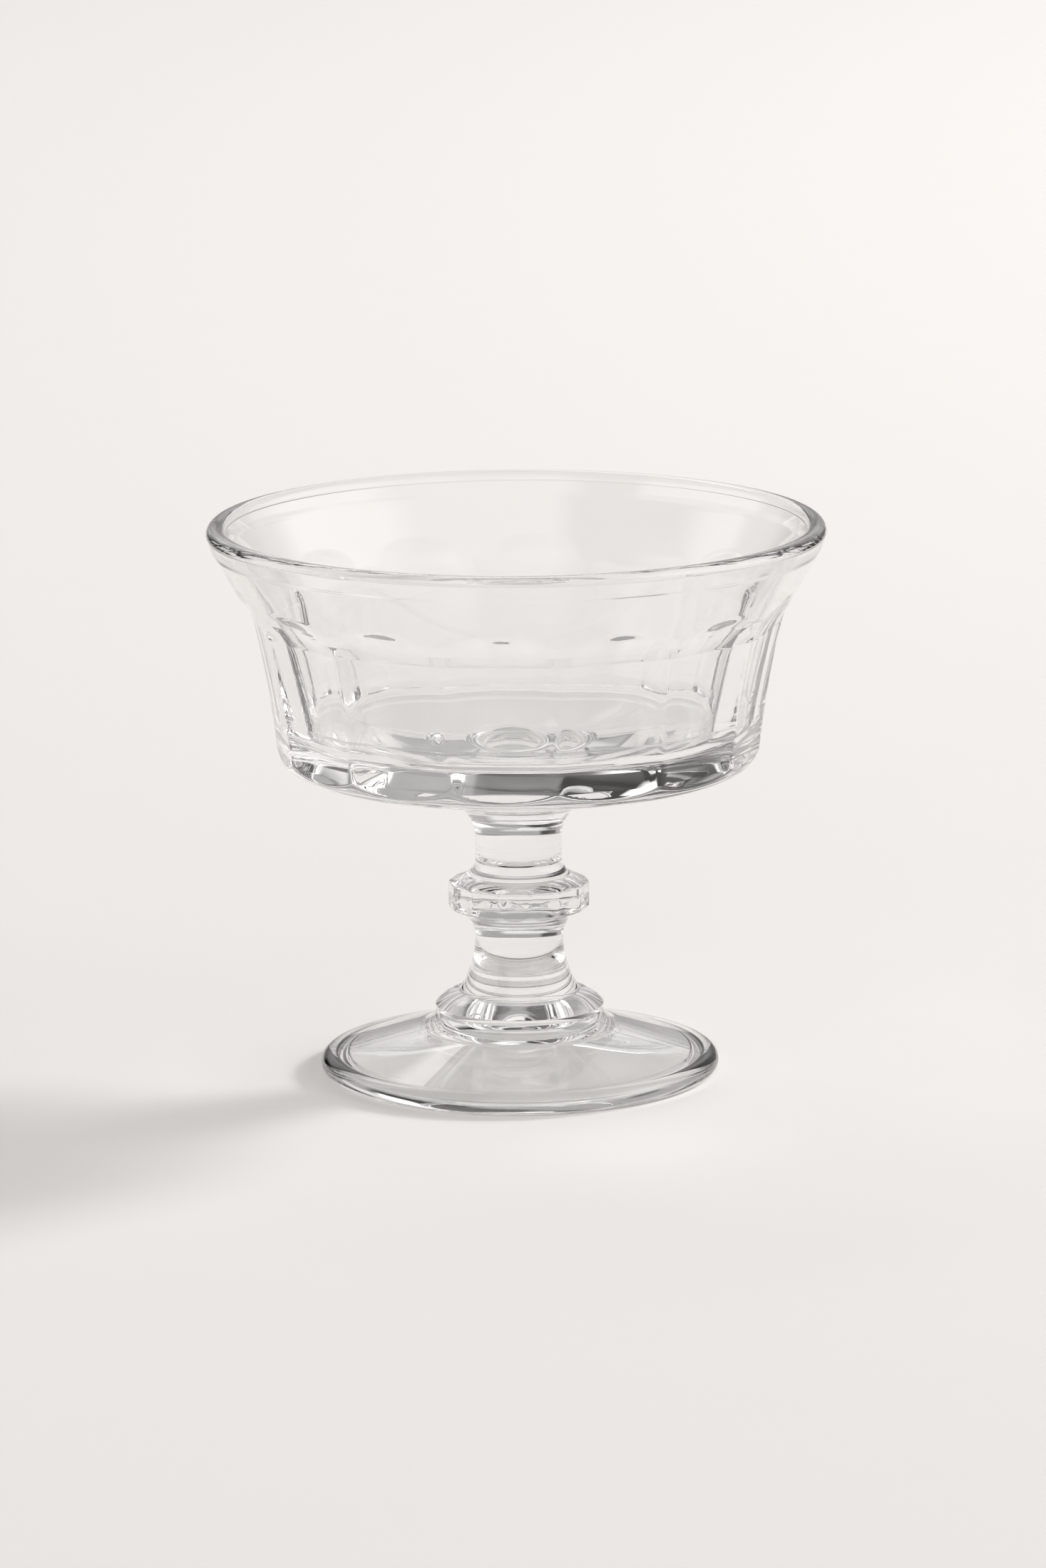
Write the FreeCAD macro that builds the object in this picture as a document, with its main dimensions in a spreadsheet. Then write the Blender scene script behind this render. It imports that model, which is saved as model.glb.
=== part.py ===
import FreeCAD, Part
import math
import os

import Sketcher

# Footed ice cream cup, pressed in one piece of clear glass.
# Millimetres, +Z up. The origin is the centre of the foot's contact ring, on the surface that it stands on.
# Heights are stacked: each stretch of the cup has its own rise, and everything above moves with it.

document = FreeCAD.newDocument("IceCreamCup")
sheet = document.addObject("Spreadsheet::Sheet", "sizes")

SIZES = [
    ("foot_radius", 34.0, "outside of the foot's bead"),
    ("foot_bead_radius", 1.8, "section radius of the foot's bead"),
    ("foot_bead_wrap", 22.5, "degrees that the bead turns past its top, inwards"),
    ("foot_contact_width", 1.9, "flat ring that the cup stands on, inside the bead"),
    ("hub_height", 8.0, "where the foot's upper face starts to rise to the collar"),
    ("hub_radius", 17.5, "the same place, from the axis"),
    ("hub_rise", 2.9, "the hub's height, up to the collar"),
    ("hub_bow", 0.6, "hollow of the hub"),
    ("collar_radius", 14.4, "widest part of the collar"),
    ("collar_lip", 0.3, "how far the collar's lower edge draws in"),
    ("collar_lip_rise", 0.9, "height of the collar's lower edge"),
    ("collar_rise", 2.3, "height of the collar's rounded shoulder"),
    ("collar_top_radius", 10.4, "top of the collar's shoulder"),
    ("collar_bow", 0.45, "swell of the collar's shoulder"),
    ("lower_waist_radius", 7.5, "thinnest part of the stem under the knop"),
    ("lower_waist_rise", 9.1, "collar's top to the lower waist"),
    ("lower_waist_bow", 0.7, "hollow of the stem below the lower waist"),
    ("knop_root_rise", 4.0, "lower waist to the knop's underside"),
    ("knop_root_bow", 0.39, "hollow of the stem above the lower waist"),
    ("knop_root_step", 1.5, "from the lower waist out to the knop's underside"),
    ("knop_under_rise", 1.75, "height of the knop's sloping underside"),
    ("knop_radius", 12.15, "round blank of the knop, before its flats"),
    ("knop_bite", 0.07, "how far the knop's flats cut past touching ridges"),
    ("knop_side_rise", 3.95, "height of the knop's side"),
    ("knop_top_rise", 1.6, "height of the knop's sloping top"),
    ("neck_step", 1.5, "from the upper stem out to the knop's top"),
    ("neck_rise", 3.0, "knop's top to the straight of the upper stem"),
    ("neck_bow", 0.46, "hollow above the knop"),
    ("stem_radius", 7.4, "upper stem"),
    ("stem_rise", 3.5, "straight of the upper stem"),
    ("root_rise", 6.4, "height of the fillet under the bowl"),
    ("root_step", 5.3, "from the upper stem out to the bowl's underside"),
    ("root_bow", 1.5, "hollow of the fillet under the bowl"),
    ("base_rise", 5.75, "rise of the bowl's underside"),
    ("corner_inset", 4.4, "from the wall in to where the bottom corner starts"),
    ("corner_rise", 3.25, "height of the rounded bottom corner"),
    ("corner_bow", 0.85, "swell of the rounded bottom corner"),
    ("wall_radius", 41.1, "ridges at the foot of the bowl's wall"),
    ("wall_rise", 24.0, "foot of the wall to its shoulder"),
    ("wall_bow", 0.5, "hollow of the wall below the shoulder"),
    ("wall_spread", 4.4, "how far the wall opens up to its shoulder"),
    ("flare_rise", 10.9, "shoulder to the bead of the rim"),
    ("flare_spread", 6.2, "how far the flared wall opens above the shoulder"),
    ("rim_step", 0.8, "from the flared wall out to the rim"),
    ("rim_bead_rise", 2.35, "lower edge of the bead to its widest part"),
    ("rim_bead_radius", 1.65, "rounding of the rim's top"),
    ("panel_count", 14, "flat panels round the bowl, and flats round the knop"),
    ("ridge_foot_width", 1.2, "ridge left between two panels at the foot of the wall"),
    ("ridge_top_width", 0.3, "ridge left between two panels where they sweep out"),
    ("panel_sweep_drop", 1.9, "below the shoulder, where a panel starts to sweep out"),
    ("panel_arch_rise", 3.7, "above the shoulder, where a panel's arch ends"),
    ("panel_sweep_bow", 0.46, "hollow of a panel where it sweeps out"),
    ("base_thickness", 5.9, "bottom corner's height to the middle of the floor"),
    ("floor_dish", 0.5, "rise of the floor from its middle to its edge"),
    ("floor_corner", 3.9, "width and height of the rounding round the floor"),
    ("floor_corner_bow", 1.1, "swell of the rounding round the floor"),
    ("wall_thickness", 2.5, "panels to the inside of the bowl"),
    ("inside_bend_rise", 2.2, "above the shoulder, where the inside's bend ends"),
    ("flare_thickness", 3.3, "flared wall, measured level"),
    ("foot_edge_width", 1.6, "width of the edge inside the contact ring"),
    ("foot_edge_rise", 1.5, "height of the edge inside the contact ring"),
    ("hollow_radius", 11.0, "edge of the dome under the foot"),
    ("hollow_rise", 4.7, "contact ring's edge to the dome's edge"),
    ("dome_rise", 3.4, "height of the dome under the foot"),
    ("dome_bow", 0.85, "swell of the dome under the foot"),
    ("dome_corner_radius", 4.0, "top of the dome, where it is nearly level"),
]

for row, (name, value, meaning) in enumerate(SIZES, start=1):
    sheet.set("A%d" % row, name)
    sheet.set("B%d" % row, repr(value))
    sheet.set("C%d" % row, meaning)
    sheet.setAlias("B%d" % row, name)
document.recompute()


def size(expression):
    return float(sheet.evalExpression(expression))


def add(*parts):
    """The sum of several expressions, as one expression."""
    return " + ".join("(%s)" % part for part in parts)


def less(whole, *parts):
    return "(%s)" % whole + "".join(" - (%s)" % part for part in parts)


# Heights of the cup's landmarks, from the contact ring up
COLLAR_ROOT = add("sizes.hub_height", "sizes.hub_rise")
COLLAR_MIDDLE = add(COLLAR_ROOT, "sizes.collar_lip_rise")
COLLAR_TOP = add(COLLAR_MIDDLE, "sizes.collar_rise")
LOWER_WAIST = add(COLLAR_TOP, "sizes.lower_waist_rise")
KNOP_ROOT = add(LOWER_WAIST, "sizes.knop_root_rise")
KNOP_LOW = add(KNOP_ROOT, "sizes.knop_under_rise")
KNOP_HIGH = add(KNOP_LOW, "sizes.knop_side_rise")
KNOP_NECK = add(KNOP_HIGH, "sizes.knop_top_rise")
STEM_LOW = add(KNOP_NECK, "sizes.neck_rise")
STEM_HIGH = add(STEM_LOW, "sizes.stem_rise")
BOWL_ROOT = add(STEM_HIGH, "sizes.root_rise")
BOWL_CORNER = add(BOWL_ROOT, "sizes.base_rise")
WALL_FOOT = add(BOWL_CORNER, "sizes.corner_rise")
SHOULDER = add(WALL_FOOT, "sizes.wall_rise")
BEAD_LOW = add(SHOULDER, "sizes.flare_rise")
BEAD_MIDDLE = add(BEAD_LOW, "sizes.rim_bead_rise")
RIM_TOP = add(BEAD_MIDDLE, "sizes.rim_bead_radius")

# Radii that follow one another, from the wall's foot out to the rim
SHOULDER_RADIUS = add("sizes.wall_radius", "sizes.wall_spread")
FLARE_RADIUS = add(SHOULDER_RADIUS, "sizes.flare_spread")
RIM_RADIUS = add(FLARE_RADIUS, "sizes.rim_step")
RIM_CREST = less(RIM_RADIUS, "sizes.rim_bead_radius")
BEAD_CENTRE = less("sizes.foot_radius", "sizes.foot_bead_radius")

STRAIGHT = None


def swell(bow):
    """An edge that bulges away from the outline's inside by this much at its middle."""
    return (1, bow)


def hollow(bow):
    """An edge that bends towards the outline's inside by this much at its middle."""
    return (-1, bow)


def arc_radius(start, end, edge):
    """The expression of an edge's radius, from its bow and its two ends."""
    across = less(end[0], start[0])
    rise = less(end[1], start[1])
    return "((%s)^2 + (%s)^2) / (8 * %s) + %s / 2" % (across, rise, edge[1], edge[1])


def draw(body, name, outline):
    """A closed, fully constrained sketch on the body's upright plane through the axis.

    The outline runs anticlockwise: each entry is a corner's radius, its height and the edge that leaves it.
    """
    sketch = body.newObject("Sketcher::SketchObject", name)
    plane = next(item for item in body.Origin.OriginFeatures if item.Role == "YZ_Plane")
    sketch.AttachmentSupport = (plane, [""])
    sketch.MapMode = "FlatFace"
    corners = [(radius, height) for radius, height, edge in outline]
    points = [FreeCAD.Vector(size(radius), size(height), 0) for radius, height in corners]
    starts, ends = [], []
    for index, (radius, height, edge) in enumerate(outline):
        after = (index + 1) % len(outline)
        here, there = points[index], points[after]
        if edge is STRAIGHT:
            sketch.addGeometry(Part.LineSegment(here, there), False)
            starts.append(1)
            ends.append(2)
            continue
        bend = size(arc_radius(corners[index], corners[after], edge))
        middle = (here + there) * 0.5
        along = there - here
        left = FreeCAD.Vector(-along.y, along.x, 0).normalize()
        reach = math.sqrt(max(bend ** 2 - along.Length ** 2 / 4, 0.0))
        centre = middle + left * reach * edge[0]
        first, last = (here, there) if edge[0] > 0 else (there, here)
        from_angle = math.atan2(first.y - centre.y, first.x - centre.x)
        to_angle = math.atan2(last.y - centre.y, last.x - centre.x)
        if to_angle < from_angle:
            to_angle += 2 * math.pi
        circle = Part.Circle(centre, FreeCAD.Vector(0, 0, 1), bend)
        sketch.addGeometry(Part.ArcOfCircle(circle, from_angle, to_angle), False)
        starts.append(1 if edge[0] > 0 else 2)
        ends.append(2 if edge[0] > 0 else 1)
    for index, (radius, height, edge) in enumerate(outline):
        before = index - 1 if index else len(outline) - 1
        sketch.addConstraint(Sketcher.Constraint("Coincident", before, ends[before], index, starts[index]))
    for index, (radius, height, edge) in enumerate(outline):
        if radius == "0":
            sketch.addConstraint(Sketcher.Constraint("PointOnObject", index, starts[index], -2))
        else:
            bind(sketch, "DistanceX", (-1, 1, index, starts[index]), radius, "radius_%d" % index)
        if height == "0":
            sketch.addConstraint(Sketcher.Constraint("PointOnObject", index, starts[index], -1))
        else:
            bind(sketch, "DistanceY", (-1, 1, index, starts[index]), height, "height_%d" % index)
        if edge is not STRAIGHT:
            after = (index + 1) % len(outline)
            bend = arc_radius(corners[index], corners[after], edge)
            bind(sketch, "Radius", (index,), bend, "bend_%d" % index)
    return sketch


def bind(sketch, kind, places, expression, name):
    """A dimension of the sketch that follows the sizes."""
    number = sketch.addConstraint(Sketcher.Constraint(kind, *places, size(expression)))
    sketch.renameConstraint(number, name)
    sketch.setExpression("Constraints." + name, expression)


def turn(body, kind, name, sketch):
    """A full revolution or groove of the sketch about the cup's axis."""
    feature = body.newObject("PartDesign::" + kind, name)
    feature.Profile = sketch
    feature.ReferenceAxis = (sketch, ["V_Axis"])
    feature.Angle = 360
    return feature


def flats(body, name, sketch, width):
    """One flat cut straight across the sketch's plane, repeated round the axis."""
    cut = body.newObject("PartDesign::Pocket", name)
    cut.Profile = sketch
    cut.SideType = "Symmetric"
    cut.Length = size(width)
    cut.setExpression("Length", width)
    around = body.newObject("PartDesign::PolarPattern", name + "Ring")
    around.Originals = [cut]
    around.Axis = (sketch, ["V_Axis"])
    around.Angle = 360
    around.Occurrences = int(size("sizes.panel_count"))
    around.setExpression("Occurrences", "sizes.panel_count")
    body.Tip = around
    return around


cup = document.addObject("PartDesign::Body", "Cup")
cup.Label = "ice_cream_cup"

# Small roundings are made of a few narrow cones each, and angles on a bead run from level outwards
BANDS = 3
FINE_BANDS = 4
OUTWARDS = 0
UPWARDS = 90
INWARDS = 180


def rounded(start, end, bow, bands=BANDS):
    """Corners from start up to, but not including, end: narrow cones that bulge to the right of the way."""
    across = less(end[0], start[0])
    rise = less(end[1], start[1])
    chord = "sqrt((%s)^2 + (%s)^2)" % (across, rise)
    corners = []
    for band in range(bands):
        share = band / bands
        off = "%s * %s / (%s)" % (4 * share * (1 - share), bow, chord)
        radius = add(start[0], "%s * (%s)" % (share, across), "%s * (%s)" % (off, rise))
        height = add(start[1], "%s * (%s)" % (share, rise), "-%s * (%s)" % (off, across))
        corners.append((radius, height, STRAIGHT) if band else (*start, STRAIGHT))
    return corners


def bead(centre, radius, first, last, bands=BANDS):
    """Corners on a bead's round section, from one angle up to, but not including, another, as narrow cones."""
    corners = []
    for band in range(bands):
        angle = first + (last - first) * band / bands
        out = add(centre[0], "%s * cos(%s)" % (radius, angle))
        corners.append((out, add(centre[1], "%s * sin(%s)" % (radius, angle)), STRAIGHT))
    return corners


# The outside as the mould leaves it, still round: foot, collar, lower stem, knop, upper stem, bowl and rim
FOOT_BEAD = (BEAD_CENTRE, "sizes.foot_bead_radius")
FOOT_BEAD_START = -50
RIM_BEAD = (RIM_CREST, BEAD_MIDDLE)
BEAD_END = (
    less(BEAD_CENTRE, "sizes.foot_bead_radius * sin(sizes.foot_bead_wrap)"),
    "sizes.foot_bead_radius * (1 + cos(sizes.foot_bead_wrap))",
)
HUB_FOOT = ("sizes.hub_radius", "sizes.hub_height")
HUB_HEAD = (less("sizes.collar_radius", "sizes.collar_lip"), COLLAR_ROOT)
COLLAR_OUT = ("sizes.collar_radius", COLLAR_MIDDLE)
COLLAR_HEAD = ("sizes.collar_top_radius", COLLAR_TOP)
WAIST = ("sizes.lower_waist_radius", LOWER_WAIST)
KNOP_FOOT = (add("sizes.lower_waist_radius", "sizes.knop_root_step"), KNOP_ROOT)
NECK = (add("sizes.stem_radius", "sizes.neck_step"), KNOP_NECK)
STEM_FOOT = ("sizes.stem_radius", STEM_LOW)
STEM_HEAD = ("sizes.stem_radius", STEM_HIGH)
BOWL_FOOT = (add("sizes.stem_radius", "sizes.root_step"), BOWL_ROOT)
CORNER = (less("sizes.wall_radius", "sizes.corner_inset"), BOWL_CORNER)
WALL = ("sizes.wall_radius", WALL_FOOT)
blank_outline = [
    ("0", "0", STRAIGHT),
    (BEAD_CENTRE, "0", STRAIGHT),
    *bead(FOOT_BEAD, "sizes.foot_bead_radius", FOOT_BEAD_START, UPWARDS, FINE_BANDS),
    (BEAD_CENTRE, "2 * sizes.foot_bead_radius", STRAIGHT),
    (*BEAD_END, STRAIGHT),
    *rounded(HUB_FOOT, HUB_HEAD, "-sizes.hub_bow"),
    (*HUB_HEAD, STRAIGHT),
    *rounded(COLLAR_OUT, COLLAR_HEAD, "sizes.collar_bow"),
    *rounded(COLLAR_HEAD, WAIST, "-sizes.lower_waist_bow"),
    *rounded(WAIST, KNOP_FOOT, "-sizes.knop_root_bow"),
    (*KNOP_FOOT, STRAIGHT),
    ("sizes.knop_radius", KNOP_LOW, STRAIGHT),
    ("sizes.knop_radius", KNOP_HIGH, STRAIGHT),
    *rounded(NECK, STEM_FOOT, "-sizes.neck_bow"),
    (*STEM_FOOT, STRAIGHT),
    *rounded(STEM_HEAD, BOWL_FOOT, "-sizes.root_bow", FINE_BANDS),
    (*BOWL_FOOT, STRAIGHT),
    *rounded(CORNER, WALL, "sizes.corner_bow"),
    (*WALL, hollow("sizes.wall_bow")),
    (SHOULDER_RADIUS, SHOULDER, STRAIGHT),
    (FLARE_RADIUS, BEAD_LOW, STRAIGHT),
    *bead(RIM_BEAD, "sizes.rim_bead_radius", OUTWARDS, UPWARDS),
    (RIM_CREST, RIM_TOP, STRAIGHT),
    ("0", RIM_TOP, STRAIGHT),
]
blank = turn(cup, "Revolution", "MouldedBlank", draw(cup, "BlankOutline", blank_outline))
document.recompute()
blank_volume = cup.Shape.Volume

# The flat panels round the bowl. Their faces leave narrow ridges of the round blank all the way up the wall,
# then sweep out and leave the glass in an arch. Below, they run off the rounded corner in a scallop.


def panel_radius(radius, ridge):
    """How far from the axis a panel lies where the blank has this radius and the ridges this width."""
    return "(%s) * cos(180 / sizes.panel_count - 90 * %s / pi / (%s))" % (radius, ridge, radius)


CLEARANCE = "5"
SWEEP = less(SHOULDER, "sizes.panel_sweep_drop")
SHARE = "(1 - sizes.panel_sweep_drop / sizes.wall_rise)"
WALL_AT_SWEEP = add(
    "sizes.wall_radius",
    "sizes.wall_spread * %s" % SHARE,
    "-4 * sizes.wall_bow * %s * (1 - %s)" % (SHARE, SHARE),
)
FOOT_RADIUS = panel_radius("sizes.wall_radius", "sizes.ridge_foot_width")
SWEEP_RADIUS = panel_radius(WALL_AT_SWEEP, "sizes.ridge_top_width")
FLARE_SLOPE = "sizes.flare_spread / sizes.flare_rise"
ARCH = add(SHOULDER, "sizes.panel_arch_rise")
ARCH_RADIUS = add(SHOULDER_RADIUS, "sizes.panel_arch_rise * %s" % FLARE_SLOPE)
OUTSIDE = add(RIM_RADIUS, CLEARANCE)
panel_outline = [
    (FOOT_RADIUS, BOWL_ROOT, STRAIGHT),
    (OUTSIDE, BOWL_ROOT, STRAIGHT),
    (OUTSIDE, add(ARCH, less(OUTSIDE, ARCH_RADIUS)), STRAIGHT),
    (ARCH_RADIUS, ARCH, swell("sizes.panel_sweep_bow")),
    (SWEEP_RADIUS, SWEEP, swell("sizes.wall_bow * %s^2" % SHARE)),
    (FOOT_RADIUS, WALL_FOOT, STRAIGHT),
]
PANEL_WIDTH = "2 * (%s) * tan(180 / sizes.panel_count)" % RIM_RADIUS
flats(cup, "Panel", draw(cup, "PanelOutline", panel_outline), PANEL_WIDTH)
document.recompute()
panelled_volume = cup.Shape.Volume

# The knop's flats, in line with the panels
KNOP_FLAT = less("sizes.knop_radius * cos(180 / sizes.panel_count)", "sizes.knop_bite")
KNOP_OUTSIDE = add("sizes.knop_radius", CLEARANCE)
knop_outline = [
    (KNOP_FLAT, KNOP_ROOT, STRAIGHT),
    (KNOP_OUTSIDE, KNOP_ROOT, STRAIGHT),
    (KNOP_OUTSIDE, KNOP_NECK, STRAIGHT),
    (KNOP_FLAT, KNOP_NECK, STRAIGHT),
]
KNOP_FLAT_WIDTH = "2 * (%s) * tan(180 / sizes.panel_count)" % KNOP_OUTSIDE
flats(cup, "KnopFlat", draw(cup, "KnopFlatOutline", knop_outline), KNOP_FLAT_WIDTH)
document.recompute()
faceted_volume = cup.Shape.Volume

# The inside of the bowl, as the plunger leaves it: smooth and round, with a rounded lip
FLOOR = add(BOWL_CORNER, "sizes.base_thickness")
FLOOR_EDGE = add(FLOOR, "sizes.floor_dish")
INSIDE_LOW = less(FOOT_RADIUS, "sizes.wall_thickness")
INSIDE_BEND = add(SHOULDER, "sizes.inside_bend_rise")
INSIDE_BEND_RADIUS = add(
    less(SHOULDER_RADIUS, "sizes.flare_thickness"),
    "sizes.inside_bend_rise * %s" % FLARE_SLOPE,
)
ABOVE = add(RIM_TOP, CLEARANCE)
bowl_outline = [
    ("0", FLOOR, STRAIGHT),
    *rounded(
        (less(INSIDE_LOW, "sizes.floor_corner"), FLOOR_EDGE),
        (INSIDE_LOW, add(FLOOR_EDGE, "sizes.floor_corner")),
        "sizes.floor_corner_bow",
    ),
    (INSIDE_LOW, add(FLOOR_EDGE, "sizes.floor_corner"), STRAIGHT),
    (less(SWEEP_RADIUS, "sizes.wall_thickness"), SWEEP, STRAIGHT),
    (INSIDE_BEND_RADIUS, INSIDE_BEND, STRAIGHT),
    (less(FLARE_RADIUS, "sizes.flare_thickness"), BEAD_LOW, STRAIGHT),
    *bead(RIM_BEAD, "sizes.rim_bead_radius", INWARDS, UPWARDS),
    (RIM_CREST, RIM_TOP, STRAIGHT),
    (RIM_CREST, ABOVE, STRAIGHT),
    ("0", ABOVE, STRAIGHT),
]
turn(cup, "Groove", "BowlInside", draw(cup, "BowlInsideOutline", bowl_outline))
document.recompute()
open_volume = cup.Shape.Volume

# The hollow under the foot: an edge inside the contact ring, a shallow cone and a dome under the collar
RING_INSIDE = less(BEAD_CENTRE, "sizes.foot_contact_width")
CONE_RADIUS = less(RING_INSIDE, "sizes.foot_edge_width")
DOME_EDGE = add("sizes.foot_edge_rise", "sizes.hollow_rise")
DOME_CORNER = ("sizes.dome_corner_radius", add(DOME_EDGE, "sizes.dome_rise"))
BELOW = "-" + CLEARANCE
foot_outline = [
    ("0", BELOW, STRAIGHT),
    (RING_INSIDE, BELOW, STRAIGHT),
    (RING_INSIDE, "0", STRAIGHT),
    (CONE_RADIUS, "sizes.foot_edge_rise", STRAIGHT),
    *rounded(("sizes.hollow_radius", DOME_EDGE), DOME_CORNER, "sizes.dome_bow"),
    (*DOME_CORNER, STRAIGHT),
    ("0", add(DOME_EDGE, "sizes.dome_rise"), STRAIGHT),
]
turn(cup, "Groove", "FootHollow", draw(cup, "FootHollowOutline", foot_outline))
document.recompute()

# Every cut has to take glass away
volumes = [blank_volume, panelled_volume, faceted_volume, open_volume, cup.Shape.Volume]
for before, after in zip(volumes, volumes[1:]):
    if after >= before:
        raise RuntimeError("a cut took nothing away: %s" % volumes)

for item in document.Objects:
    if "Invalid" in item.State or "Error" in item.State:
        raise RuntimeError("%s did not recompute: %s" % (item.Name, item.State))
    if item.TypeId == "Sketcher::SketchObject" and not item.FullyConstrained:
        raise RuntimeError("%s is not fully constrained" % item.Name)

os.makedirs("parts", exist_ok=True)
for part in [cup]:
    shape = part.Shape
    if shape.isNull() or not shape.isValid() or len(shape.Solids) != 1:
        raise RuntimeError("%s is not one valid solid" % part.Label)
    shape.exportStep("parts/%s.step" % part.Label)
    box = shape.BoundBox
    print(part.Label, "%.1f x %.1f x %.1f mm" % (box.XLength, box.YLength, box.ZLength))
    print("glass %.1f cm3, faces %d" % (shape.Volume / 1000, len(shape.Faces)))
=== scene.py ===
# %% [markdown]
# # An ice cream cup of pressed glass
#
# The cup is one piece of clear, colourless glass. A mould in two halves gives the outside its foot, collar,
# knop and fourteen flat panels, and a plunger gives the bowl its smooth inside. Afterwards the glass is fire
# polished, which softens every edge a little. Glass has almost no colour of its own: what the eye sees is the
# room, bent by each curve. So two things matter here, a smooth and exact surface, and a room worth bending.

# %% Load the fixed frame
import math
import bpy
import numpy as np
from mathutils import Matrix, Vector


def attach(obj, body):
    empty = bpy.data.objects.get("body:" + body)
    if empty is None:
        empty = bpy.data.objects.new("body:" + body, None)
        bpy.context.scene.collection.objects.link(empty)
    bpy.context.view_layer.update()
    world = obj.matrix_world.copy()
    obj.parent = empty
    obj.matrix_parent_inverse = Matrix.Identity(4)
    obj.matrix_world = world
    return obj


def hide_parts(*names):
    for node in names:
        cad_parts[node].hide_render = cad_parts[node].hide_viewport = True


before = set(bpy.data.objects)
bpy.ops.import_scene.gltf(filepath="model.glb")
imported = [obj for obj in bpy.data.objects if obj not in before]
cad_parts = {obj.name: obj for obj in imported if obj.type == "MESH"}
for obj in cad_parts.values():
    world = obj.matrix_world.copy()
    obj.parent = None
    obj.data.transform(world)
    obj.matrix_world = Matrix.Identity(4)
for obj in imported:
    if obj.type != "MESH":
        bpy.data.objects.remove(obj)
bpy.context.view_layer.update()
MM = 0.001

# %% [markdown]
# ## The outline of the glass
#
# A maker draws such a cup as one section, half of it, and turns it round the axis. The outline could be a
# long list of points, but then nobody could read or change it. It is drawn here as a few named corners with
# straight or bowed stretches between them, in millimetres, and a bow is how far the middle of a stretch
# stands off the straight line.

# %% A stretch of the outline, straight or bowed
def stretch(start, end, bow, steps):
    """Points from start up to, but not including, end. A positive bow bulges to the right of the way.

    The points crowd towards both ends, so that a corner stays as tight as the real one.
    """
    start = np.array(start, float)
    end = np.array(end, float)
    share = 0.5 - 0.5 * np.cos(np.arange(steps) / steps * math.pi)
    chord = np.linalg.norm(end - start)
    if abs(bow) < 1e-9:
        return start + share[:, None] * (end - start)
    turn = 4 * math.atan(2 * abs(bow) / chord)
    radius = (chord ** 2 / 4 + bow ** 2) / (2 * abs(bow))
    along = (end - start) / chord
    right = np.array([along[1], -along[0]]) * math.copysign(1, bow)
    centre = (start + end) / 2 + right * (abs(bow) - radius)
    swing = (share - 0.5) * turn
    return centre + radius * (np.sin(swing)[:, None] * along + np.cos(swing)[:, None] * right)


def outline(corners):
    """All the points of an outline. A corner is a radius, a height, and the bow and steps of what leaves it."""
    pieces = [stretch(a[:2], b[:2], a[2], a[3]) for a, b in zip(corners, corners[1:])]
    return np.vstack(pieces + [[corners[-1][:2]]])


def circle_bow(radius, degrees=90.0):
    """The bow of a part of a circle."""
    return radius * (1 - math.cos(math.radians(degrees / 2)))


print("a quarter circle of 2 mm has a bow of", round(circle_bow(2), 3), "mm")

# %% Heights, stacked from the foot up
HUB_FOOT = 8.0
COLLAR_ROOT = HUB_FOOT + 2.9
COLLAR_MIDDLE = COLLAR_ROOT + 0.9
COLLAR_TOP = COLLAR_MIDDLE + 2.3
WAIST = COLLAR_TOP + 9.1
KNOP_ROOT = WAIST + 4.0
KNOP_LOW = KNOP_ROOT + 1.75
KNOP_HIGH = KNOP_LOW + 3.95
KNOP_NECK = KNOP_HIGH + 1.6
STEM_LOW = KNOP_NECK + 3.0
STEM_HIGH = STEM_LOW + 3.5
BOWL_ROOT = STEM_HIGH + 6.4
BOWL_CORNER = BOWL_ROOT + 5.75
WALL_FOOT = BOWL_CORNER + 3.25
SHOULDER = WALL_FOOT + 24.0
BEAD_LOW = SHOULDER + 10.9
BEAD_MIDDLE = BEAD_LOW + 2.35
RIM_BEAD = 1.65
RIM_TOP = BEAD_MIDDLE + RIM_BEAD
print("the rim is", round(RIM_TOP, 2), "mm above the table")

# %% Radii, from the axis
FOOT = 34.0
FOOT_BEAD = 1.8
BEAD_WRAP = 22.5
CONTACT_WIDTH = 1.9
COLLAR = 14.4
THIN_STEM = 7.5
STEM = 7.4
KNOP = 12.15
WALL = 41.1
WALL_BOW = 0.5
SHOULDER_OUT = WALL + 4.4
FLARE = SHOULDER_OUT + 6.2
RIM = FLARE + 0.8
CREST = RIM - RIM_BEAD
BEAD_AXIS = FOOT - FOOT_BEAD
CONTACT = BEAD_AXIS - CONTACT_WIDTH
flare_slope = (FLARE - SHOULDER_OUT) / (BEAD_LOW - SHOULDER)
print("foot", 2 * FOOT, "mm across, rim", 2 * RIM, "mm across")

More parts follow.
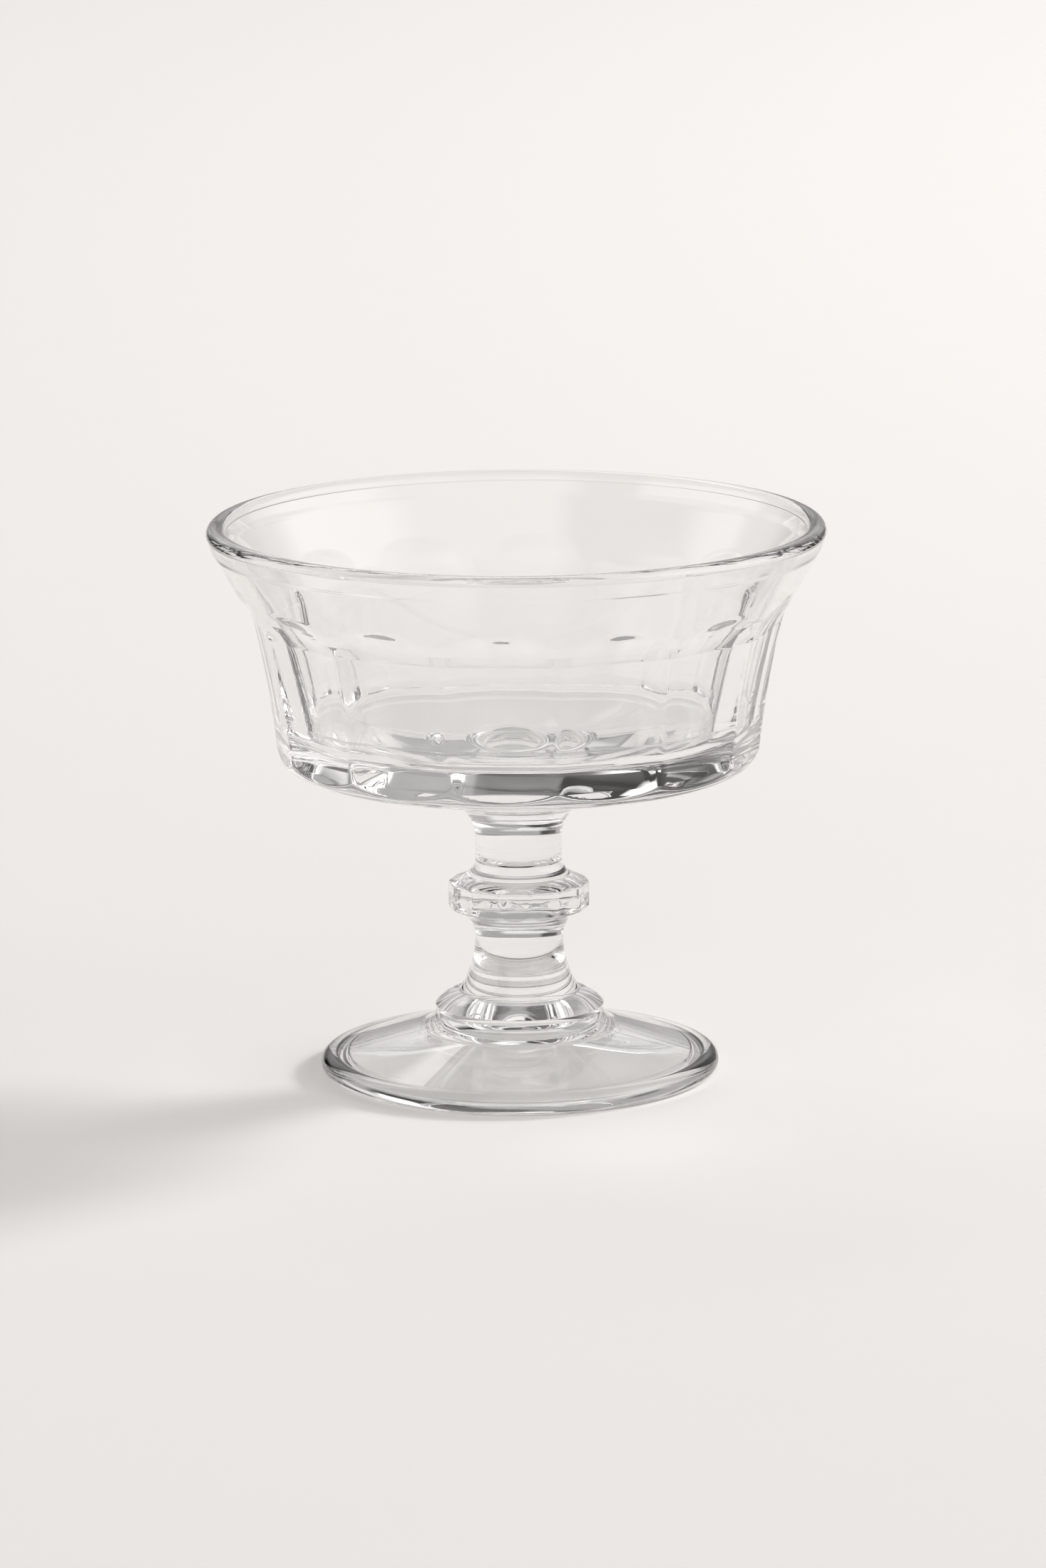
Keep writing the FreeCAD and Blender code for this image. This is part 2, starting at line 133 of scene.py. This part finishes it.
# %% The outside, from under the foot to the crest of the rim
wrap = math.radians(BEAD_WRAP)
bead_end = (BEAD_AXIS - FOOT_BEAD * math.sin(wrap), FOOT_BEAD * (1 + math.cos(wrap)))
ARCH_TOP = 4.8
outside = outline([
    (0.0, 9.6, 0, 5),
    (4.0, 9.6, -0.85, 10),
    (11.0, 6.2, 0, 10),
    (CONTACT - 1.6, 1.5, 0, 8),
    (CONTACT, 0.0, 0, 5),
    (BEAD_AXIS, 0.0, circle_bow(FOOT_BEAD), 8),
    (FOOT, FOOT_BEAD, circle_bow(FOOT_BEAD), 8),
    (BEAD_AXIS, 2 * FOOT_BEAD, circle_bow(FOOT_BEAD, BEAD_WRAP), 6),
    (bead_end[0], bead_end[1], 0, 10),
    (17.5, HUB_FOOT, -0.6, 14),
    (COLLAR - 0.3, COLLAR_ROOT, 0.0, 6),
    (COLLAR, COLLAR_MIDDLE, 0.45, 12),
    (10.4, COLLAR_TOP, -0.7, 12),
    (THIN_STEM, WAIST, -0.39, 8),
    (THIN_STEM + 1.5, KNOP_ROOT, 0, 6),
    (KNOP, KNOP_LOW, 0, 8),
    (KNOP, KNOP_HIGH, 0, 8),
    (STEM + 1.5, KNOP_NECK, -0.46, 8),
    (STEM, STEM_LOW, 0, 5),
    (STEM, STEM_HIGH, -1.5, 12),
    (STEM + 5.3, BOWL_ROOT, 0, 12),
    (WALL - 4.4, BOWL_CORNER, 0.85, 18),
    (WALL, WALL_FOOT, -WALL_BOW, 20),
    (SHOULDER_OUT, SHOULDER, 0, 30),
    (SHOULDER_OUT + ARCH_TOP * flare_slope, SHOULDER + ARCH_TOP, 0, 8),
    (FLARE, BEAD_LOW, 0.0, 8),
    (RIM, BEAD_MIDDLE, circle_bow(RIM_BEAD), 12),
    (CREST, RIM_TOP, 0, 1),
])
print("outside:", len(outside), "points")

# %% [markdown]
# ## The panels
#
# Fourteen flats are pressed into the wall of the bowl. Between two of them a narrow ridge of the round wall
# is left, and at the top each flat sweeps outwards and ends in an arch. A flat's distance from the axis is
# the wall's radius times a cosine, so it has an outline of its own, which runs beside the wall's.

# %% How far from the axis a panel lies
PANELS = 14
RIDGE_LOW = 1.2
RIDGE_HIGH = 0.3
SWEEP_DROP = 1.9
ARCH_RISE = 3.7
SWEEP = SHOULDER - SWEEP_DROP


def panel_radius(radius, ridge):
    """A panel's distance from the axis, where the wall has this radius and the ridges this width."""
    return radius * math.cos(math.pi / PANELS - ridge / 2 / radius)


share = 1 - SWEEP_DROP / (SHOULDER - WALL_FOOT)
wall_at_sweep = WALL * (1 - share) + SHOULDER_OUT * share - 4 * WALL_BOW * share * (1 - share)
PANEL_FOOT = panel_radius(WALL, RIDGE_LOW)
PANEL_SWEEP = panel_radius(wall_at_sweep, RIDGE_HIGH)
arch_out = SHOULDER_OUT + ARCH_RISE * flare_slope
panel_line = outline([
    (PANEL_FOOT, BOWL_ROOT, 0, 1),
    (PANEL_FOOT, WALL_FOOT, -WALL_BOW * share ** 2, 60),
    (PANEL_SWEEP, SWEEP, -0.32, 60),
    (arch_out, SHOULDER + ARCH_RISE, 0, 1),
    (arch_out + 8, SHOULDER + ARCH_RISE + 8, 0, 1),
])
KNOP_FLAT = KNOP * math.cos(math.pi / PANELS) - 0.07
print("a panel lies", round(WALL - PANEL_FOOT, 2), "mm inside the wall at its foot")

# %% [markdown]
# ## The inside that the plunger leaves
#
# The plunger is a plain turned tool, so the inside has no flats. Its floor dips a little in the middle, and
# the glass between floor and underside is thick: it works as a lens, and draws the dark band along the
# bottom of the bowl.

# %% The inside, from the crest of the rim down to the middle of the floor
FLOOR = BOWL_CORNER + 5.9
FLOOR_EDGE = FLOOR + 0.5
FLOOR_CORNER = 3.9
GLASS = 2.5
FLARE_GLASS = 3.3
INSIDE = PANEL_FOOT - GLASS
inside = outline([
    (CREST, RIM_TOP, circle_bow(RIM_BEAD), 12),
    (CREST - RIM_BEAD, BEAD_MIDDLE, 0.0, 6),
    (FLARE - FLARE_GLASS, BEAD_LOW, 0, 10),
    (SHOULDER_OUT + 2.2 * flare_slope - FLARE_GLASS, SHOULDER + 2.2, 0.0, 6),
    (PANEL_SWEEP - GLASS, SWEEP, 0.0, 14),
    (INSIDE, FLOOR_EDGE + FLOOR_CORNER, -1.1, 14),
    (INSIDE - FLOOR_CORNER, FLOOR_EDGE, 0, 14),
    (0.0, FLOOR, 0, 1),
])
print("inside:", len(inside), "points")

# %% [markdown]
# ## Turning the outline into glass
#
# A lathe with booleans would cut the panels crisply, but booleans leave long thin triangles, and glass shows
# each of them as a streak. Here every point of the turned surface is pushed in to the flat of its panel where
# the flat lies deeper. The two meet with a soft minimum, which rounds the edge between them as the fire does.

# %% Places round the axis, closest at the ridges between panels
STEPS = 20
turns = np.linspace(-1, 1, STEPS + 1)[:-1]
in_panel = 0.5 * np.sin(turns * math.pi / 2)
angles = np.concatenate([(panel + 0.5 + in_panel) for panel in range(PANELS)]) * math.tau / PANELS
offsets = np.tile(in_panel * math.tau / PANELS, PANELS)
print(len(angles), "places round the axis")

# %% The flats
SOFT_EDGE = 0.12
SOFT_ARCH = 0.22
SOFT_RIDGE = 0.3
SOFT_KNOP = 0.1
PANELS_START = 30.0


def soft_minimum(a, b, width):
    """The smaller of two, rounded where they differ by less than the width."""
    near = np.clip(1 - np.abs(a - b) / width, 0, None)
    return np.minimum(a, b) - near ** 2 * width / 4


def flatten(radius, flat, width):
    """Radii round one height, with flats at this distance from the axis."""
    pitch = math.tau / PANELS
    own = flat / np.cos(offsets)
    beside = flat / np.cos(pitch - np.abs(offsets))
    return soft_minimum(np.full(len(offsets), radius), soft_minimum(own, beside, SOFT_RIDGE), width)


def ring_points(ring, height):
    """The points of one ring round the axis, from their radii."""
    return np.column_stack([ring * np.cos(angles), ring * np.sin(angles), np.full(len(angles), height)])


rings = []
for radius, height in outside:
    ring = np.full(len(angles), radius)
    if height > BOWL_ROOT and radius > PANELS_START:
        softness = np.interp(height, [SWEEP, SHOULDER + 1], [SOFT_EDGE, SOFT_ARCH])
        ring = flatten(radius, np.interp(height, panel_line[:, 1], panel_line[:, 0]), softness)
    elif KNOP_ROOT < height < KNOP_NECK:
        ring = flatten(radius, KNOP_FLAT, SOFT_KNOP)
    rings.append(ring_points(ring, height))
for radius, height in inside[1:]:
    rings.append(ring_points(np.full(len(angles), radius), height))
print(len(rings), "rings")

# %% The mesh of the cup
rows = len(rings) - 2
around = len(angles)
points = np.vstack([rings[0][:1]] + rings[1:-1] + [rings[-1][:1]])
points[0, :2] = 0
points[-1, :2] = 0
first = 1 + np.arange(around)
after = 1 + (np.arange(around) + 1) % around
faces = [(0, b, a) for a, b in zip(first, after)]
for row in range(rows - 1):
    low = row * around
    high = low + around
    faces += [(a + low, b + low, b + high, a + high) for a, b in zip(first, after)]
last = len(points) - 1
top = (rows - 1) * around
faces += [(a + top, b + top, last) for a, b in zip(first, after)]
mesh = bpy.data.meshes.new("ice_cream_cup_glass")
mesh.from_pydata((points * MM).tolist(), [], [tuple(int(i) for i in face) for face in faces])
mesh.validate()
mesh.shade_smooth()
cup = bpy.data.objects.new("ice_cream_cup_glass", mesh)
bpy.context.scene.collection.objects.link(cup)
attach(cup, "root")
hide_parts("ice_cream_cup")
print("triangles:", sum(len(face) - 2 for face in faces))

# %% [markdown]
# ## Writing shader maths as plain expressions
#
# Shader nodes could be added and joined one by one, but then the thought behind them is lost. A small class
# stands for one value in a node tree. Adding or multiplying two of them adds the Math node that does it.

# %% A value in a node tree
class Value:
    """One socket of a node tree, which can be used in ordinary expressions."""

    def __init__(self, tree, socket):
        self.tree = tree
        self.socket = socket

    @staticmethod
    def node(tree, kind, settings, **inputs):
        """A node of this kind. Settings come first, then the sockets.

        A socket goes by its name, with _ for a space, or by i and its number.
        """
        made = tree.nodes.new(kind)
        for name, setting in settings.items():
            setattr(made, name, setting)
        for name, value in inputs.items():
            numbered = name[1:].isdigit()
            socket = made.inputs[int(name[1:]) if numbered else name.replace("_", " ")]
            if isinstance(value, Value):
                tree.links.new(value.socket, socket)
            else:
                socket.default_value = value
        return made

    def math(self, operation, *others):
        inputs = {"i%d" % place: value for place, value in enumerate((self,) + others)}
        made = Value.node(self.tree, "ShaderNodeMath", {"operation": operation}, **inputs)
        return Value(self.tree, made.outputs[0])

    def __add__(self, other):
        return self.math("ADD", other)

    __radd__ = __add__

    def __mul__(self, other):
        return self.math("MULTIPLY", other)

    __rmul__ = __mul__

    def __sub__(self, other):
        return self.math("SUBTRACT", other)

    def __rsub__(self, other):
        return self * -1 + other

    def __truediv__(self, other):
        return self.math("DIVIDE", other)

    def __abs__(self):
        return self.math("ABSOLUTE")

    def clamped(self):
        return self.math("MAXIMUM", 0.0).math("MINIMUM", 1.0)

    def smooth(self):
        """From 0 to 1 without a kink at either end."""
        kept = self.clamped()
        return kept * kept * (3 - 2 * kept)


def coordinates(tree, output):
    """The x, y and z of a Texture Coordinate output."""
    place = Value.node(tree, "ShaderNodeTexCoord", {}).outputs[output]
    split = Value.node(tree, "ShaderNodeSeparateXYZ", {}, Vector=Value(tree, place))
    return [Value(tree, socket) for socket in split.outputs]


print("values can be added, subtracted, multiplied and divided")

# %% [markdown]
# ## The glass
#
# Pressed soda-lime glass bends light a little more than water, and its iron gives thick parts a trace of
# green. A perfect surface would look like a computer drawing: real pressed glass keeps faint waves from the
# mould and the fire, and one fine seam down each side where the mould's halves met. A Bump node carries both.
# They are far too shallow to be worth a mesh.

# %% The clear glass
CLEAR = (0.955, 0.961, 0.959, 1)
GLASS_BENDING = 1.52
WAVES = 90.0
BUMP_DEPTH = 0.03 * MM
SEAM_WIDTH = 0.35 * MM
SEAM_SHARE = 0.6
glass = bpy.data.materials.new("clear_glass")
glass.use_nodes = True
tree = glass.node_tree
shader = tree.nodes["Principled BSDF"]
shader.inputs["Roughness"].default_value = 0.0
shader.inputs["IOR"].default_value = GLASS_BENDING
shader.inputs["Transmission Weight"].default_value = 1.0
shader.inputs["Base Color"].default_value = CLEAR
place = Value(tree, Value.node(tree, "ShaderNodeTexCoord", {}).outputs["Object"])
wave = Value.node(tree, "ShaderNodeTexNoise", {}, Vector=place, Scale=WAVES, Detail=1.0, Roughness=0.4)
x, y, z = coordinates(tree, "Object")
seam = (1 - abs(y) / SEAM_WIDTH).smooth() * SEAM_SHARE
height = Value(tree, wave.outputs[0]) + seam
bump = Value.node(tree, "ShaderNodeBump", {}, Strength=1.0, Distance=BUMP_DEPTH, Height=height)
tree.links.new(bump.outputs[0], shader.inputs["Normal"])
mesh.materials.append(glass)
print("glass: waves and a seam on each side, up to", round(BUMP_DEPTH / MM, 3), "mm deep")

# %% [markdown]
# ## The paper, and painted shade past it
#
# The cup stands on a sheet of warm white paper. The camera only sees paper, but the glass can also bend in
# what lies past its edges on the left, on the right and in front. There the floor's colour is painted shade:
# a dark grey that stands for the dim room around the lit paper. Together with the dark corners of the room,
# it is there to give the glass something dark to draw its lines with.

# %% Paper, with painted shade past its edges
PAPER = (0.955, 0.941, 0.931, 1)
# Painted shade: the dark grey past the paper's edges stands for the dim room around the lit paper.
PAINTED_SHADE_PAST_PAPER = (0.25, 0.245, 0.24, 1)
RIGHT_END = 0.45
LEFT_END = -0.75
FRONT_END = -0.6
EDGE = 0.25
FIBRES = 2200.0
FIBRE_SHADE = 0.02
FLOOR_PLANE_SIZE = 60
bpy.ops.mesh.primitive_plane_add(size=FLOOR_PLANE_SIZE)
floor = bpy.context.object
floor.name = "floor"
paper = bpy.data.materials.new("paper_and_painted_shade")
paper.use_nodes = True
tree = paper.node_tree
shader = tree.nodes["Principled BSDF"]
shader.inputs["Roughness"].default_value = 0.9
shader.inputs["Specular IOR Level"].default_value = 0.1
x, y, z = coordinates(tree, "Object")
on_right = ((RIGHT_END - x) / EDGE).smooth()
on_left = ((x - LEFT_END) / EDGE).smooth()
on_front = ((y - FRONT_END) / EDGE).smooth()
on_paper = on_right * on_left * on_front
fibre = Value.node(tree, "ShaderNodeTexNoise", {}, Scale=FIBRES, Detail=2.0)
grain = Value(tree, fibre.outputs[0]) * FIBRE_SHADE + (1 - FIBRE_SHADE / 2)
# The paper's colour, and past its edges the painted shade.
white = Value.node(tree, "ShaderNodeMix", {"data_type": "RGBA"})
white.inputs[6].default_value = PAINTED_SHADE_PAST_PAPER
white.inputs[7].default_value = PAPER
tree.links.new((on_paper * grain).socket, white.inputs[0])
tree.links.new(white.outputs[2], shader.inputs["Base Color"])
floor.data.materials.append(paper)
print("paper on a table,", FLOOR_PLANE_SIZE, "m across")

# %% [markdown]
# ## The room
#
# A photographer lights glass with large soft panels and lets dark gaps between them draw its edges. The room
# here is a plain dim one with such panels: a light on the right, a pale board on the left, pale walls behind
# the camera and behind the cup, and dark corners and a dark ceiling between them. A row of the list gives a
# panel's middle, width, height and soft edge in degrees, and how much brighter or darker than the room it is.
# Azimuth 0 is behind the cup, 90 is on the right, and 180 is behind the camera.

# %% The room's panels
world = bpy.data.worlds.new("studio")
bpy.context.scene.world = world
world.use_nodes = True
tree = world.node_tree
sky = tree.nodes["Background"]
x, y, z = coordinates(tree, "Generated")
azimuth = x.math("ARCTAN2", y) * math.degrees(1)
elevation = z.math("ARCSINE") * math.degrees(1)


def panel(at, up, width, tall, edge):
    """1 inside a panel of the room and 0 outside, from its middle and size in degrees."""
    sideways = (azimuth - at).math("WRAP", 180.0, -180.0)
    across = ((width / 2 - abs(sideways)) / edge + 0.5).clamped()
    upright = ((tall / 2 - abs(elevation - up)) / edge + 0.5).clamped()
    return across * upright


ROOM = 0.38
DARKEST = 0.02
PANEL_LIST = [
    ("light on the right", 88, 32, 60, 38, 16, 1.5),
    ("pale wall on the right", 98, 6, 108, 24, 8, 0.5),
    ("pale wall behind the camera", 160, 38, 84, 56, 14, 0.6),
    ("pale board on the left", 260, 14, 62, 42, 5, 0.8),
    ("dark ceiling on the left", 274, 56, 100, 46, 6, -0.36),
    ("dark corner behind the camera", 219, 40, 34, 40, 12, -0.34),
    ("dim ceiling behind the cup", 335, 62, 50, 20, 6, -0.3),
    ("pale beam behind the cup on the left", 336, 44, 38, 14, 4, 1.7),
    ("dark corner on the left", 322, 4, 26, 18, 5, -0.35),
    ("pale wall behind the cup", 350, 28, 44, 30, 8, 0.5),
    ("dark gap beside the light", 56, 45, 24, 14, 4, -0.3),
]
WARM = (1.0, 0.975, 0.955)
level = x * 0.0 + ROOM
for name, at, up, width, tall, edge, gain in PANEL_LIST:
    level = level + panel(at, up, width, tall, edge) * gain
level = level.math("MAXIMUM", DARKEST)
warm = Value.node(tree, "ShaderNodeVectorMath", {"operation": "SCALE"}, i0=WARM, Scale=level)
tree.links.new(warm.outputs[0], sky.inputs["Color"])
sky.inputs["Strength"].default_value = 1.0
print(len(PANEL_LIST), "panels in the room")

# %% [markdown]
# ## The key light
#
# One lamp throws the cup's shadow to the left and a little to the front. It is an area lamp, because a lamp's
# shadow is cleaner than the shadow of a bright patch in the world. It is hidden from reflections and from light
# that has passed through glass, because it would stand as a hard white patch in the bowl and pale its own
# shadow. The soft panel on the right gives the highlights.

# %% The key light
def lamp(name, place, aim, width, height, radiance):
    """An area lamp of this brightness, as a bright card would have."""
    data = bpy.data.lights.new(name, "AREA")
    data.shape = "RECTANGLE"
    data.size = width
    data.size_y = height
    data.energy = radiance * math.pi * width * height
    data.color = WARM
    item = bpy.data.objects.new(name, data)
    bpy.context.scene.collection.objects.link(item)
    item.location = place
    item.rotation_euler = (Vector(aim) - Vector(place)).to_track_quat("-Z", "Y").to_euler()
    return item


def spot(azimuth, elevation, distance):
    """A place in the room, in metres."""
    a = math.radians(azimuth)
    e = math.radians(elevation)
    level_part = distance * math.cos(e)
    return (level_part * math.sin(a), level_part * math.cos(a), distance * math.sin(e))


key = lamp("key", spot(55, 27, 3.0), (0, 0, 0.03), 0.6, 0.5, 51.0)
key.visible_glossy = False
key.visible_transmission = False
print("key light of", round(key.data.energy, 1), "W")

# %% [markdown]
# ## The camera
#
# The photograph was taken with a long lens from slightly above, a little to the right of the cup's middle,
# and the camera was not quite level. These values were measured from the rim's and the foot's ellipses.

# %% Camera
CAMERA_DISTANCE = 1.4
CAMERA_HEIGHT = 0.34689
CAMERA_TURN = math.radians(3.65)
TILT = math.radians(11.979)
PAN = math.radians(0.0344)
ROLL = math.radians(-0.4095)
LENS = 193.05
camera_data = bpy.data.cameras.new("camera")
camera_data.lens = LENS
camera = bpy.data.objects.new("camera", camera_data)
bpy.context.scene.collection.objects.link(camera)
turned = Matrix.Rotation(CAMERA_TURN - PAN, 4, "Z") @ Matrix.Rotation(math.pi / 2 - TILT, 4, "X")
sideways = CAMERA_DISTANCE * math.sin(CAMERA_TURN)
forwards = CAMERA_DISTANCE * math.cos(CAMERA_TURN)
place = Vector((sideways, -forwards, CAMERA_HEIGHT))
camera.matrix_world = Matrix.Translation(place) @ turned @ Matrix.Rotation(ROLL, 4, "Z")
bpy.context.scene.camera = camera
bpy.context.scene.view_settings.view_transform = "Standard"
cycles = bpy.context.scene.cycles
cycles.max_bounces = 24
cycles.transmission_bounces = 24
cycles.glossy_bounces = 16
cycles.diffuse_bounces = 6
cycles.caustics_reflective = True
cycles.caustics_refractive = True
cycles.blur_glossy = 0.0
print("camera", round(place.length, 3), "m from the cup's foot")
